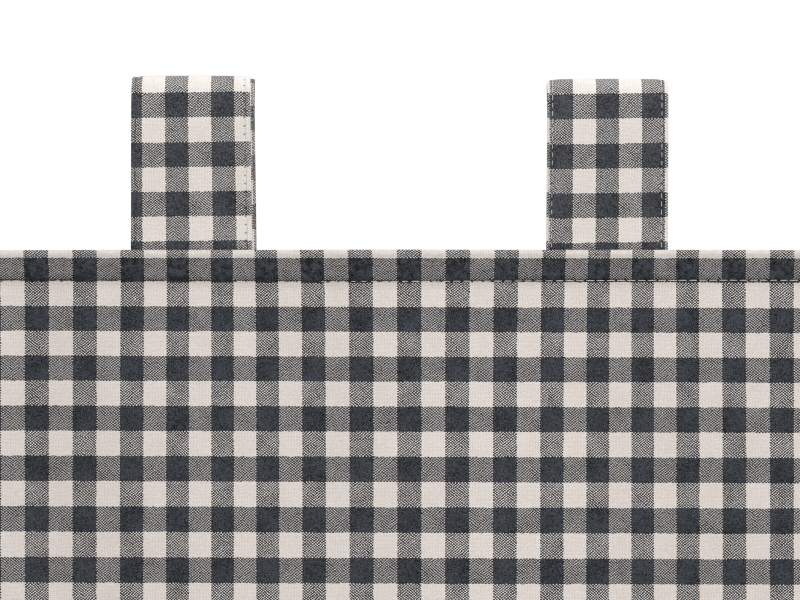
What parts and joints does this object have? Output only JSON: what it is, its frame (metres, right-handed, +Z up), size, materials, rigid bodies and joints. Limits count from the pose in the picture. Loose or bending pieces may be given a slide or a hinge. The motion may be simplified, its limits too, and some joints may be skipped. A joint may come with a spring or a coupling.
{
  "type": "tab-top cafe curtain",
  "caption": "Short gingham cotton window curtain with a stitched top hem, hung in shallow folds from cloth tab loops that take a slim rod.",
  "frame": {"origin": "middle of the line along the inside top of the tab loops, where the rod bears", "axes": "+X along the rod to the viewer's right, +Y from the front of the curtain to its back, +Z up"},
  "size_m": [0.9202, 0.034, 0.6101],
  "materials": {
    "gingham_panel": "charcoal and off-white gingham, plain-woven cotton",
    "gingham_tab": "charcoal and off-white gingham, doubled and edge-stitched"
  },
  "bodies": {
    "root": {"panel": "gingham_panel", "tab_1": "gingham_tab", "tab_2": "gingham_tab", "tab_3": "gingham_tab", "tab_4": "gingham_tab", "tab_5": "gingham_tab", "tab_6": "gingham_tab"}
  },
  "joints": []
}
